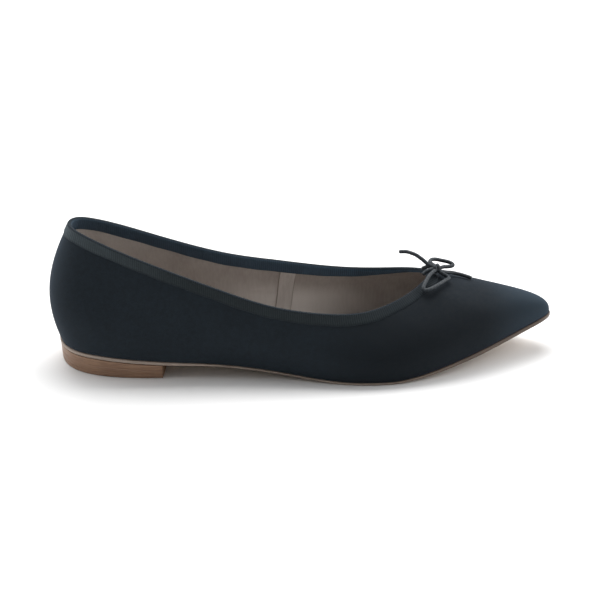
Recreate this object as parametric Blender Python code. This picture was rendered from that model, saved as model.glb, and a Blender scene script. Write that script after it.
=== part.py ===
"""A pointed ballet flat for the right foot, in metres, +Z up, toe towards +X, outer side towards -Y.

The upper is one hollow wall between the sole's edge and the topline. Each row of SECTIONS cuts across the
shoe: it gives the foot of the wall on both sides, the topline above it, and how the wall swells and leans.
A closed spline runs through the rows, so the upper, binding, insole, outsole and heel share one form.
"""

from collections import namedtuple

import bmesh
import bpy
import numpy as np
from mathutils import Matrix, Vector

MM = 0.001

# Driving sizes, in millimetres.
LENGTH = 262.0          # back of the heel swell to the toe tip
BALL_WIDTH = 76.0       # wall foot to wall foot across the ball
BACK_HEIGHT = 73.0      # floor to the topline at the centre back
WAIST_HEIGHT = 7.1      # floor to the underside of the outsole at the waist
SEAT_RISE = 2.7         # the heel seat stands above the waist by this
TOE_SPRING = 15.9       # floor to the underside of the outsole at the tip
SEAT_THICKNESS = 1.9    # of the outsole over the heel
BALL_THICKNESS = 1.1    # where it is skived thin from the waist to the ball
TOE_THICKNESS = 2.4
INSOLE_THICKNESS = 1.8
WALL = 1.6              # upper with its lining
GAP = 0.3               # between pieces that lie on each other

Section = namedtuple(
    "Section",
    "name foot_x outer_foot inner_foot rim_x outer_rim inner_rim rim_z drop swell rise lean reach",
)

# One row for each section, heel to toe. foot_x and rim_x are shares of LENGTH; the four sideways columns are
# distances from the heel's own axis in shares of BALL_WIDTH, outer to -Y and inner to +Y; rim_z is a share of
# BACK_HEIGHT, and drop lowers the outer topline from it (mm). swell pushes the lower wall outwards (mm), rise
# and reach are the wall curve's handles in shares of its height and of its span, and lean is the wall's angle
# from upright at the topline (degrees).
SECTIONS = (
    Section("heel_back",    0.017, 0.000, 0.000, 0.050, 0.000, 0.000, 1.016, 0.0, 7.7, 0.38, 28.0, 0.41),
    Section("heel_corner",  0.046, 0.232, 0.226, 0.067, 0.125, 0.110, 1.006, 0.0, 7.8, 0.38, 27.0, 0.39),
    Section("heel_side",    0.115, 0.346, 0.324, 0.122, 0.215, 0.178, 0.938, 0.0, 6.0, 0.37, 20.0, 0.35),
    Section("heel_breast",  0.226, 0.376, 0.335, 0.222, 0.265, 0.218, 0.803, 0.6, 5.0, 0.36, 18.0, 0.34),
    Section("waist",        0.350, 0.374, 0.295, 0.345, 0.314, 0.250, 0.659, 1.9, 5.0, 0.38, 16.0, 0.34),
    Section("shank",        0.465, 0.408, 0.350, 0.445, 0.360, 0.300, 0.576, 3.4, 5.0, 0.38, 18.0, 0.34),
    Section("ball_back",    0.572, 0.478, 0.455, 0.540, 0.369, 0.352, 0.505, 1.8, 5.0, 0.42, 24.0, 0.34),
    Section("ball",         0.672, 0.483, 0.515, 0.622, 0.324, 0.385, 0.468, -0.3, 4.5, 0.46, 38.0, 0.36),
    Section("throat_side",  0.765, 0.392, 0.485, 0.690, 0.195, 0.325, 0.497, -1.0, 4.0, 0.52, 59.0, 0.42),
    Section("toe_side",     0.862, 0.228, 0.360, 0.731, 0.074, 0.195, 0.555, -0.2, 2.6, 0.55, 71.0, 0.48),
    Section("toe_shoulder", 0.950, 0.045, 0.230, 0.746, 0.000, 0.110, 0.577, 0.0, 1.4, 0.57, 72.0, 0.52),
    Section("toe_tip",      1.000, -0.100, 0.100, 0.749, -0.055, 0.055, 0.584, 0.0, 0.8, 0.58, 72.0, 0.52),
)
HALF_SPANS = len(SECTIONS) - 1
BREAST_SPAN = 3         # the heel block ends at this section

# The sole line from the side, in millimetres from the heel's back.
SEAT_BACK = 20.0        # the heel seat falls to the waist from here
SEAT_FRONT = 74.0       # to here
WAIST_BACK = 72.0       # the waist falls from here
BALL_BACK = 156.0       # to here, where the forefoot stands on the floor
BALL_FRONT = 176.0      # as far as here, and the toe springs up beyond it
SPRING_POWER = 1.35
THINS_FROM = 50.0       # the outsole thins from here
THINS_TO = 92.0         # to here
TOE_FRONT = 222.0       # and thickens again from the ball to here

# How far the outsole and heel stand out from the wall's foot, and how their edges are worked.
SOLE_MARGIN = 0.6
SOLE_TOP_EDGE = 0.3
SOLE_BOTTOM_EDGE = 0.6
INSOLE_CLEARANCE = 0.5
INSOLE_EDGE = 0.4
HEEL_SET_BACK = 0.3
HEEL_TAPER = 0.3
HEEL_EDGE = 0.6
BREAST_BULGE = 1.2
BREAST_POINTS = 7       # an odd count, so that one lies in the middle

# The binding folded over the topline.
BINDING_DEPTH = 5.1
BINDING_INSIDE = 6.2    # its hem hangs deeper inside than outside
BINDING_THICKNESS = 0.5

# The cord tied at the throat: its knot lies this far ahead of the topline's front.
CORD_DIAMETER = 2.0
KNOT_AHEAD = 4.0
KNOT_SIZE = (5.6, 5.2, 5.6)

# Resolution of the faceted solids.
RIBS_PER_SPAN = 4
WALL_LEVELS = 9
FINE_RIBS_PER_SPAN = 8
FINE_LEVELS = 48
CORD_STEP = 1.2         # diameters from point to point along the cord

RoutePoint = namedtuple("RoutePoint", "ahead across lift")

# The cord's routes in millimetres from the middle of the knot: ahead to the toe, across to the inner side,
# and lift of the cord's middle over the shoe below it.
BOW_ROUTES = {
    "bow_loop_outer": (
        RoutePoint(-2.0, -3.6, 2.7),
        RoutePoint(-4.2, -6.8, 2.4),
        RoutePoint(-6.2, -10.6, 2.2),
        RoutePoint(-7.8, -14.2, 2.0),
        RoutePoint(-7.2, -15.6, 1.9),
        RoutePoint(-4.0, -14.6, 1.8),
        RoutePoint(0.4, -11.0, 1.6),
        RoutePoint(4.2, -6.8, 1.5),
        RoutePoint(6.4, -4.0, 1.5),
        RoutePoint(5.6, -2.6, 1.7),
        RoutePoint(3.8, -2.0, 2.0),
    ),
    "bow_loop_inner": (
        RoutePoint(-2.5, 3.6, 4.3),
        RoutePoint(-2.6, 5.4, 5.1),
        RoutePoint(-1.4, 7.0, 5.8),
        RoutePoint(0.8, 8.0, 6.2),
        RoutePoint(3.8, 8.4, 6.2),
        RoutePoint(7.0, 8.0, 6.2),
        RoutePoint(9.0, 7.0, 6.0),
        RoutePoint(9.6, 5.8, 5.4),
        RoutePoint(8.2, 4.8, 4.7),
        RoutePoint(5.8, 3.8, 4.2),
        RoutePoint(4.6, 3.2, 4.1),
    ),
    "bow_tail_back": (
        RoutePoint(-3.8, 2.0, 3.5),
        RoutePoint(-6.8, 4.0, 5.8),
        RoutePoint(-10.0, 6.0, 8.2),
        RoutePoint(-12.4, 7.2, 9.3),
        RoutePoint(-14.8, 8.4, 10.3),
        RoutePoint(-18.4, 9.7, 11.1),
    ),
    "bow_tail_front": (
        RoutePoint(4.2, 0.4, 2.2),
        RoutePoint(6.4, 2.6, 1.6),
        RoutePoint(8.6, 4.6, 1.3),
        RoutePoint(10.6, 5.8, 1.1),
        RoutePoint(14.0, 6.0, 0.9),
        RoutePoint(17.2, 5.4, 0.7),
        RoutePoint(19.5, 4.6, 0.5),
    ),
}


def smooth_step(low, high, value):
    share = np.clip((value - low) / (high - low), 0.0, 1.0)
    return share * share * (3.0 - 2.0 * share)


def sole_bottom(x):
    """Height of the outsole's underside: down from the seat through the waist, flat, then toe spring."""
    seat = SEAT_RISE * (1.0 - smooth_step(SEAT_BACK, SEAT_FRONT, x))
    waist = WAIST_HEIGHT * (1.0 - smooth_step(WAIST_BACK, BALL_BACK, x))
    share = np.clip((x - BALL_FRONT) / (LENGTH - BALL_FRONT), 0.0, None)
    return seat + waist + TOE_SPRING * share**SPRING_POWER


def sole_top(x):
    seat = (SEAT_THICKNESS - BALL_THICKNESS) * (1.0 - smooth_step(THINS_FROM, THINS_TO, x))
    toe = (TOE_THICKNESS - BALL_THICKNESS) * smooth_step(BALL_FRONT, TOE_FRONT, x)
    return sole_bottom(x) + BALL_THICKNESS + seat + toe


def closed_spline(knots, period, values, at):
    """A closed cubic spline through values at the knots, which repeat after period."""
    count = len(knots)
    step = np.diff(np.append(knots, knots[0] + period))
    before = np.roll(step, 1)
    slope = (np.roll(values, -1, axis=0) - values) / step[:, None]
    matrix = np.zeros((count, count))
    rows = np.arange(count)
    matrix[rows, rows] = 2.0 * (before + step)
    matrix[rows, (rows - 1) % count] = before
    matrix[rows, (rows + 1) % count] = step
    bend = np.linalg.solve(matrix, 6.0 * (slope - np.roll(slope, 1, axis=0)))
    span = np.searchsorted(knots, at, side="right") - 1
    after = (span + 1) % count
    width = step[span][:, None]
    right = (at - knots[span])[:, None]
    left = width - right
    cubic = (bend[span] * left**3 + bend[after] * right**3) / (6.0 * width)
    line_left = (values[span] / width - bend[span] * width / 6.0) * left
    line_right = (values[after] / width - bend[after] * width / 6.0) * right
    return cubic + line_left + line_right


def section_rows():
    """The closed ring of sections: heel back, outer side to the toe tip, and the inner side back again."""
    def row(section, side, foot, rim, drop):
        return (
            section.foot_x * LENGTH,
            side * foot * BALL_WIDTH,
            section.rim_x * LENGTH,
            side * rim * BALL_WIDTH,
            section.rim_z * BACK_HEIGHT - drop,
            section.swell,
            section.rise,
            section.lean,
            section.reach,
        )

    outer = [row(s, -1.0, s.outer_foot, s.outer_rim, s.drop) for s in SECTIONS]
    inner = [row(s, 1.0, s.inner_foot, s.inner_rim, 0.0) for s in SECTIONS[-2:0:-1]]
    return np.array(outer + inner)


def ring_knots(rows):
    """Places round the ring by distance along the wall's foot, the same on both sides of the shoe."""
    chord = np.linalg.norm(np.roll(rows[:, :2], -1, axis=0) - rows[:, :2], axis=1)
    mean = (chord[:HALF_SPANS] + chord[: HALF_SPANS - 1 : -1]) / 2.0
    steps = np.concatenate([mean, mean[::-1]])
    return np.concatenate([[0.0], np.cumsum(steps)[:-1]]), steps.sum()


def unit(vectors):
    return vectors / np.linalg.norm(vectors, axis=1)[:, None]


def plan_outward(loop):
    """Level directions straight out of a closed loop that runs anticlockwise seen from above."""
    along = np.roll(loop, -1, axis=0) - np.roll(loop, 1, axis=0)
    return unit(np.stack([along[:, 1], -along[:, 0], np.zeros(len(loop))], axis=1))


def make_ribs(per_span):
    """The wall's ribs all round the shoe, as the four control points of each rib's curve, foot to topline."""
    rows = section_rows()
    knots, period = ring_knots(rows)
    ends = np.append(knots, period)
    at = np.concatenate([np.linspace(a, b, per_span, endpoint=False) for a, b in zip(ends, ends[1:])])
    foot_x, foot_y, rim_x, rim_y, rim_z, swell, rise, lean, reach = closed_spline(knots, period, rows, at).T
    foot = np.stack([foot_x, foot_y, sole_top(foot_x) + GAP], axis=1)
    rim = np.stack([rim_x, rim_y, rim_z], axis=1)
    up = np.array([0.0, 0.0, 1.0])
    height = (rim - foot)[:, 2:3]
    span = np.linalg.norm(rim - foot, axis=1)[:, None]
    angle = np.radians(lean)[:, None]
    low = foot + plan_outward(foot) * swell[:, None] + up * rise[:, None] * height
    high = rim + reach[:, None] * span * (plan_outward(rim) * np.sin(angle) - up * np.cos(angle))
    return foot, low, high, rim


def rib_points(ribs, share):
    """The points of all ribs at a share of their curve, 0 at the foot and 1 at the topline."""
    foot, low, high, rim = ribs
    rest = 1.0 - share
    return foot * rest**3 + low * (3 * rest**2 * share) + high * (3 * rest * share**2) + rim * share**3


def rib_slopes(ribs, share):
    """Unit directions up the ribs at a share of their curve."""
    foot, low, high, rim = ribs
    rest = 1.0 - share
    return unit((low - foot) * rest**2 + (high - low) * (2 * rest * share) + (rim - high) * share**2)


def wall_below_topline(ribs, depth):
    """Points of the wall's outer face at a depth below the topline, and the directions out of that face."""
    high, rim = ribs[2:]
    reach = np.linalg.norm(rim - high, axis=1)[:, None]
    share = 1.0 - depth / (3.0 * reach)
    points = rib_points(ribs, share)
    along = np.roll(points, -1, axis=0) - np.roll(points, 1, axis=0)
    return points, unit(np.cross(along, rib_slopes(ribs, share)))


def add_object(name, bm, material):
    mesh = bpy.data.meshes.new(name)
    bmesh.ops.recalc_face_normals(bm, faces=bm.faces)
    bm.to_mesh(mesh)
    bm.free()
    mesh.shade_smooth()
    mesh.materials.append(material)
    obj = bpy.data.objects.new(name, mesh)
    bpy.context.scene.collection.objects.link(obj)
    return obj


def add_loop(bm, points):
    """A closed loop of vertices, with its edges."""
    verts = [bm.verts.new(Vector(point) * MM) for point in points]
    edges = [bm.edges.new((a, b)) for a, b in zip(verts, verts[1:] + verts[:1])]
    return verts, edges


def join_loops(bm, first, second):
    """Quads between two loops of the same count, vertex by vertex."""
    for a, b, c, d in zip(first, first[1:] + first[:1], second[1:] + second[:1], second):
        bm.faces.new((a, b, c, d))


def close_across(bm, verts):
    """A face from side to side between each pair of ribs that face each other, from heel to toe."""
    count = len(verts)
    for left in range(count // 2):
        corners = (verts[left], verts[left + 1], verts[-left - 1], verts[-left % count])
        bm.faces.new(list(dict.fromkeys(corners)))


def make_upper(material):
    ribs = make_ribs(RIBS_PER_SPAN)
    bm = bmesh.new()
    loops = [add_loop(bm, rib_points(ribs, share))[0] for share in np.linspace(0.0, 1.0, WALL_LEVELS + 1)]
    for below, above in zip(loops, loops[1:]):
        join_loops(bm, below, above)
    upper = add_object("upper", bm, material)
    wall = upper.modifiers.new("wall", "SOLIDIFY")
    wall.thickness = WALL * MM
    wall.offset = -1.0
    wall.use_even_offset = True
    return upper


def flat_ring(ribs, shift, height):
    """The wall's foot moved out by shift, at the height that the function gives for each place along."""
    ring = ribs[0] + plan_outward(ribs[0]) * shift
    ring[:, 2] = height(ring[:, 0])
    return ring


def make_sheet(name, material, rings):
    """A curved sheet: rings from its upper edge down to its lower edge, closed across at both."""
    bm = bmesh.new()
    loops = [add_loop(bm, ring)[0] for ring in rings]
    for above, below in zip(loops, loops[1:]):
        join_loops(bm, above, below)
    close_across(bm, loops[0])
    close_across(bm, loops[-1])
    sheet = add_object(name, bm, material)
    sheet.data.set_sharp_from_angle(angle=np.radians(35.0))
    return sheet


def make_outsole(material):
    ribs = make_ribs(RIBS_PER_SPAN)
    return make_sheet("outsole", material, (
        flat_ring(ribs, SOLE_MARGIN - SOLE_TOP_EDGE, sole_top),
        flat_ring(ribs, SOLE_MARGIN, lambda x: sole_top(x) - SOLE_TOP_EDGE),
        flat_ring(ribs, SOLE_MARGIN, lambda x: sole_bottom(x) + SOLE_BOTTOM_EDGE),
        flat_ring(ribs, SOLE_MARGIN - SOLE_BOTTOM_EDGE, sole_bottom),
    ))


def make_insole(material):
    ribs = make_ribs(RIBS_PER_SPAN)
    inset = -(WALL + INSOLE_CLEARANCE)
    return make_sheet("insole", material, (
        flat_ring(ribs, inset - INSOLE_EDGE, lambda x: sole_top(x) + GAP + INSOLE_THICKNESS),
        flat_ring(ribs, inset, lambda x: sole_top(x) + GAP + INSOLE_THICKNESS - INSOLE_EDGE),
        flat_ring(ribs, inset, lambda x: sole_top(x) + GAP),
    ))


def heel_outline(shift):
    """The heel block's outline from its back: the sole's outer edge, a proud breast, and the inner edge."""
    ribs = make_ribs(RIBS_PER_SPAN)
    reach = BREAST_SPAN * RIBS_PER_SPAN
    edge = ribs[0] + plan_outward(ribs[0]) * shift
    outer, inner = edge[: reach + 1], edge[-reach:]
    share = np.linspace(0.0, 1.0, BREAST_POINTS + 2)[1:-1, None]
    breast = outer[-1] * (1.0 - share) + inner[0] * share
    breast[:, :1] += BREAST_BULGE * 4.0 * share * (1.0 - share)
    return np.concatenate([outer, breast, inner])


def make_heel(material):
    set_back = SOLE_MARGIN - HEEL_SET_BACK
    top = heel_outline(set_back)
    top[:, 2] = sole_bottom(top[:, 0]) - GAP
    corner = heel_outline(set_back - HEEL_TAPER)
    corner[:, 2] = HEEL_EDGE
    tread = heel_outline(set_back - HEEL_TAPER - HEEL_EDGE)
    tread[:, 2] = 0.0
    return make_sheet("heel", material, (top, corner, tread))


def make_binding(material):
    """A ribbon folded over the topline: a channel round the whole edge, clear of the wall by the gap."""
    ribs = make_ribs(RIBS_PER_SPAN)
    near = GAP
    far = GAP + BINDING_THICKNESS
    corner = GAP + 0.4 * BINDING_THICKNESS
    shoulder = GAP + 0.8 * BINDING_THICKNESS
    rim, out = wall_below_topline(ribs, 0.0)
    middle, middle_out = wall_below_topline(ribs, BINDING_DEPTH / 2.0)
    hem, hem_out = wall_below_topline(ribs, BINDING_DEPTH)
    inner_middle, inner_middle_out = wall_below_topline(ribs, BINDING_INSIDE / 2.0)
    inner_hem, inner_hem_out = wall_below_topline(ribs, BINDING_INSIDE)
    up = rib_slopes(ribs, 1.0)
    rings = (
        hem + hem_out * far,
        middle + middle_out * far,
        rim + out * far,
        rim + out * corner + up * shoulder,
        rim - out * WALL / 2.0 + up * far,
        rim - out * (WALL + corner) + up * shoulder,
        rim - out * (WALL + far),
        inner_middle - inner_middle_out * (WALL + far),
        inner_hem - inner_hem_out * (WALL + far),
        inner_hem - inner_hem_out * (WALL + near),
        inner_middle - inner_middle_out * (WALL + near),
        rim - out * (WALL + near) + up * near,
        rim + out * near + up * near,
        middle + middle_out * near,
        hem + hem_out * near,
    )
    bm = bmesh.new()
    loops = [add_loop(bm, ring)[0] for ring in rings]
    for first, second in zip(loops, loops[1:] + loops[:1]):
        join_loops(bm, first, second)
    binding = add_object("topline_binding", bm, material)
    binding.data.set_sharp_from_angle(angle=np.radians(60.0))
    return binding


def vamp_height(x, y):
    """Height of the upper's outer face over a place near the throat, from the closest points of the wall."""
    ribs = make_ribs(FINE_RIBS_PER_SPAN)
    points = np.concatenate([rib_points(ribs, share) for share in np.linspace(0.0, 1.0, FINE_LEVELS)])
    distance = np.hypot(points[:, 0] - x, points[:, 1] - y)
    closest = np.argsort(distance)[:6]
    weight = 1.0 / (distance[closest] + 0.05)
    return float((points[closest, 2] * weight).sum() / weight.sum())


def knot_centre():
    """Middle of the knot, resting on the binding ahead of the topline's front."""
    rim = make_ribs(RIBS_PER_SPAN)[3]
    front = rim[HALF_SPANS * RIBS_PER_SPAN]
    x, y = front[0] + KNOT_AHEAD, front[1]
    base = vamp_height(x, y) + 2.0 * GAP + BINDING_THICKNESS
    return np.array([x, y, base + KNOT_SIZE[2] / 2.0])


def smooth_route(points, step):
    """Points at even steps along a smooth curve through the route's own points."""
    ends = np.concatenate([[2 * points[0] - points[1]], points, [2 * points[-1] - points[-2]]])
    share = np.linspace(0.0, 1.0, 24, endpoint=False)[:, None]
    pieces = []
    for a, b, c, d in zip(ends, ends[1:], ends[2:], ends[3:]):
        bend = (2 * a - 5 * b + 4 * c - d) * share**2 + (3 * b - a - 3 * c + d) * share**3
        pieces.append(b + 0.5 * ((c - a) * share + bend))
    curve = np.concatenate(pieces + [points[-1:]])
    run = np.concatenate([[0.0], np.cumsum(np.linalg.norm(np.diff(curve, axis=0), axis=1))])
    at = np.linspace(0.0, run[-1], int(round(run[-1] / step)) + 1)
    return np.stack([np.interp(at, run, curve[:, axis]) for axis in range(3)], axis=1)


def make_cord(name, route, knot, material):
    places = []
    for point in route:
        x, y = knot[0] + point.ahead, knot[1] + point.across
        places.append((x, y, vamp_height(x, y) + GAP + BINDING_THICKNESS + point.lift))
    curve = bpy.data.curves.new(name, "CURVE")
    curve.dimensions = "3D"
    curve.bevel_depth = CORD_DIAMETER / 2.0 * MM
    curve.bevel_resolution = 2
    curve.use_fill_caps = True
    spline = curve.splines.new("POLY")
    points = smooth_route(np.array(places), CORD_STEP * CORD_DIAMETER)
    spline.points.add(len(points) - 1)
    for target, place in zip(spline.points, points):
        target.co = (*(place * MM), 1.0)
    curve.materials.append(material)
    cord = bpy.data.objects.new(name, curve)
    bpy.context.scene.collection.objects.link(cord)
    return cord


def make_knot(knot, material):
    bm = bmesh.new()
    place = Matrix.Translation(Vector(knot) * MM) @ Matrix.Diagonal((*(Vector(KNOT_SIZE) * MM), 1.0))
    bmesh.ops.create_uvsphere(bm, u_segments=14, v_segments=8, radius=0.5, matrix=place)
    return add_object("bow_knot", bm, material)


def make_material(name, colour, roughness):
    material = bpy.data.materials.new(name)
    material.use_nodes = True
    shader = material.node_tree.nodes["Principled BSDF"]
    shader.inputs["Base Color"].default_value = (*colour, 1.0)
    shader.inputs["Roughness"].default_value = roughness
    shader.inputs["Metallic"].default_value = 0.0
    return material


def stand_on_origin(pieces):
    """Hang every object on an empty that puts the middle of the pieces' box, at its foot, on the origin."""
    bpy.context.view_layer.update()
    graph = bpy.context.evaluated_depsgraph_get()
    corners = np.array([corner for piece in pieces for corner in piece.evaluated_get(graph).bound_box])
    low, high = corners.min(axis=0), corners.max(axis=0)
    stand = bpy.data.objects.new("stand", None)
    bpy.context.scene.collection.objects.link(stand)
    for obj in bpy.context.scene.objects:
        if obj is not stand:
            obj.parent = stand
    stand.location = (-(low[0] + high[0]) / 2.0, -(low[1] + high[1]) / 2.0, -low[2])


def main():
    for obj in list(bpy.data.objects):
        bpy.data.objects.remove(obj)
    suede = make_material("black_suede", (0.012, 0.013, 0.016), 0.85)
    ribbon = make_material("black_ribbon", (0.014, 0.015, 0.019), 0.6)
    leather = make_material("sole_leather", (0.30, 0.22, 0.16), 0.55)
    stacked = make_material("stacked_heel", (0.38, 0.27, 0.18), 0.5)
    sock = make_material("sock_leather", (0.42, 0.37, 0.33), 0.6)
    braid = make_material("black_braid", (0.016, 0.017, 0.02), 0.7)
    pieces = [
        make_outsole(leather),
        make_heel(stacked),
        make_insole(sock),
        make_upper(suede),
        make_binding(ribbon),
    ]
    knot = knot_centre()
    make_knot(knot, braid)
    for name, route in BOW_ROUTES.items():
        make_cord(name, route, knot, braid)
    stand_on_origin(pieces)


main()
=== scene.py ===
import math

import bmesh
import bpy
import numpy as np
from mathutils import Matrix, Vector


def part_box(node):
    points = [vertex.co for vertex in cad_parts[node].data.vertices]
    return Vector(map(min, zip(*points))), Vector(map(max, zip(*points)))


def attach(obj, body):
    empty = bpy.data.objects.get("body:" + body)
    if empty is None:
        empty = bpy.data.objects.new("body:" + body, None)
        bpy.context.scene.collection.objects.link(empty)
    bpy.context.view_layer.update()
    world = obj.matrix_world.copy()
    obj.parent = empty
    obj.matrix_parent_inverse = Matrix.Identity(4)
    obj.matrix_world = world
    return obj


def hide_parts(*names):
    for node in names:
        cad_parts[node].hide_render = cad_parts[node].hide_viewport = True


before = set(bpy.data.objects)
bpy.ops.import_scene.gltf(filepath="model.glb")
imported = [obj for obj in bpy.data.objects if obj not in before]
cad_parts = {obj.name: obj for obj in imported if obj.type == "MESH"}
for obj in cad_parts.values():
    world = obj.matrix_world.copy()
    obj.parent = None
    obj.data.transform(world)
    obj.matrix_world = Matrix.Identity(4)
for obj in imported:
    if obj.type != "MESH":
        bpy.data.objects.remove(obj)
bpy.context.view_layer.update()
print("frame loaded,", len(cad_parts), "nodes")


noiseRange = (0.3, 0.7)             # the values that a noise mostly keeps to


# A node's output in a material. Sums and products of wires add Math nodes, and node() adds any other kind.
class Wire:
    def __init__(self, tree, socket=None):
        self.tree = tree
        self.socket = socket

    def node(self, kind, settings=None, sockets=None, out=0):
        made = self.tree.nodes.new("ShaderNode" + kind)
        for name, value in (settings or {}).items():
            setattr(made, name, value)
        for name, value in (sockets or {}).items():
            if isinstance(value, Wire):
                self.tree.links.new(value.socket, made.inputs[name])
            else:
                made.inputs[name].default_value = value
        return Wire(self.tree, made.outputs[out])

    def maths(self, operation, *others):
        return self.node("Math", {"operation": operation}, dict(enumerate((self, *others))))

    def __add__(self, other):
        return self.maths("ADD", other)

    def __sub__(self, other):
        return self.maths("SUBTRACT", other)

    def __rsub__(self, other):
        return self.node("Math", {"operation": "SUBTRACT"}, {0: other, 1: self})

    def __mul__(self, other):
        return self.maths("MULTIPLY", other)

    __radd__ = __add__
    __rmul__ = __mul__

    def ramp(self, low, high, first=0.0, second=1.0):       # eased from first at low to second at high
        sockets = {"Value": self, "From Min": low, "From Max": high, "To Min": first, "To Max": second}
        return self.node("MapRange", {"interpolation_type": "SMOOTHSTEP"}, sockets)

    def spread(self, first=0.0, second=1.0):        # a noise's range, eased from first to second
        return self.ramp(*noiseRange, first, second)

    def mix(self, first, second):                   # colours, by this wire's value
        return self.node("Mix", {"data_type": "RGBA"}, {0: self, 6: first, 7: second}, out=2)

    def noise(self, scale, detail=3.0, roughness=0.55):     # of this wire's place
        sockets = {"Vector": self, "Scale": scale, "Detail": detail, "Roughness": roughness}
        return self.node("TexNoise", {}, sockets)

    def stretched(self, scale):                     # this wire's place, scaled along each axis
        return self.node("Mapping", {}, {"Vector": self, "Scale": scale})

    def axis(self, index):
        return self.node("SeparateXYZ", {}, {0: self}, out=index)

    def bump(self, strength, depth):                # this wire's value as relief
        return self.node("Bump", {}, {"Strength": strength, "Distance": depth, "Height": self})


def colour(red, green, blue):
    return (red, green, blue, 1.0)


# A new finish: its material, a wire to start from, and a call that feeds the shader.
def startFinish(name):
    material = bpy.data.materials.new(name)
    material.use_nodes = True
    shader = material.node_tree.nodes["Principled BSDF"]
    wires = Wire(material.node_tree)

    def feed(**sockets):
        for key, value in sockets.items():
            target = shader.inputs[key.replace("_", " ")]
            if isinstance(value, Wire):
                material.node_tree.links.new(value.socket, target)
            else:
                target.default_value = value

    return material, wires, feed


# Camera: as fitted to the photograph, its focal length and centre in pixels of a square frame
view = {
    "elevation": 27.0,
    "azimuth": -1.0,
    "distance": 0.65,
    "target": (-0.0004, -0.0009, 0.025),
    "frame": 600.0,
    "focal": 1245.0,
    "centre": (303.0, 308.0),
    "sensor": 36.0,
    "nearest": 0.01,
}


def makeCamera():
    lift = math.radians(view["elevation"])
    turn = math.radians(view["azimuth"])
    back = Vector((math.sin(turn) * math.cos(lift), -math.cos(turn) * math.cos(lift), math.sin(lift)))
    data = bpy.data.cameras.new("camera")
    data.sensor_width = view["sensor"]
    data.lens = view["focal"] / view["frame"] * view["sensor"]
    data.shift_x = 0.5 - view["centre"][0] / view["frame"]
    data.shift_y = view["centre"][1] / view["frame"] - 0.5
    data.clip_start = view["nearest"]
    camera = bpy.data.objects.new("camera", data)
    camera.rotation_euler = (-back).to_track_quat("-Z", "Y").to_euler()
    camera.location = Vector(view["target"]) + back * view["distance"]
    bpy.context.scene.collection.objects.link(camera)
    bpy.context.scene.camera = camera
    print("camera placed")


# Studio: a pale floor, an even white room and large soft lamps
studio = {
    "floorSize": 6.0,
    "floorColour": colour(0.78, 0.78, 0.78),
    "floorRoughness": 0.9,
    "room": colour(1.0, 1.0, 1.0),
    "roomStrength": 0.27,
    "lamps": {              # place, aim, width, height, power
        "overhead": ((-0.05, 0.66, 1.24), (0.0, 0.0, 0.0), 1.3, 0.8, 29.0),
        "left": ((-1.10, 0.30, 0.75), (0.0, 0.0, 0.03), 1.0, 1.0, 9.0),
        "right": ((1.10, 0.20, 0.60), (0.0, 0.0, 0.03), 1.0, 1.0, 14.0),
    },
}


def makeStudio():
    scene = bpy.context.scene
    scene.view_settings.view_transform = "Standard"
    world = bpy.data.worlds.new("room")
    world.use_nodes = True
    sky = world.node_tree.nodes["Background"]
    sky.inputs["Color"].default_value = studio["room"]
    sky.inputs["Strength"].default_value = studio["roomStrength"]
    scene.world = world
    for name, (place, aim, width, height, power) in studio["lamps"].items():
        data = bpy.data.lights.new(name, "AREA")
        data.shape = "RECTANGLE"
        data.size = width
        data.size_y = height
        data.energy = power
        lamp = bpy.data.objects.new(name, data)
        lamp.location = place
        lamp.rotation_euler = (Vector(aim) - Vector(place)).to_track_quat("-Z", "Y").to_euler()
        scene.collection.objects.link(lamp)
    bm = bmesh.new()
    bmesh.ops.create_grid(bm, x_segments=1, y_segments=1, size=studio["floorSize"] / 2.0)
    mesh = bpy.data.meshes.new("floor")
    bm.to_mesh(mesh)
    bm.free()
    material, wires, feed = startFinish("paleFloor")
    feed(Base_Color=studio["floorColour"], Roughness=studio["floorRoughness"])
    mesh.materials.append(material)
    floor = bpy.data.objects.new("floor", mesh)
    scene.collection.objects.link(floor)
    print("studio lit")


# The last that every piece is drawn over, in metres, heel back at x = 0 and outer side towards -Y.
last = {
    "length": 0.262,
    "ballWidth": 0.076,
    "backHeight": 0.073,
    "waistHeight": 0.0071,          # floor to the outsole at the waist, falling to nothing at the ball
    "waistBack": 0.072,
    "ballBack": 0.156,
    "seatRise": 0.0027,             # the heel seat stands above the waist by this
    "seatBack": 0.020,
    "seatFront": 0.074,
    "toeSpring": 0.0159,
    "ballFront": 0.176,
    "springPower": 1.35,
    "seatThickness": 0.0019,        # of the outsole, at the heel, the ball and the toe
    "ballThickness": 0.0011,
    "toeThickness": 0.0024,
    "thinsFrom": 0.050,
    "thinsTo": 0.092,
    "toeFront": 0.222,
    "gap": 0.0003,                  # between pieces that lie on each other
    "wall": 0.0016,                 # upper with its lining
    "margin": 0.0006,               # the outsole stands out from the wall's foot by this
    "perSpan": 12,                  # columns from one section to the next
}

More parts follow.
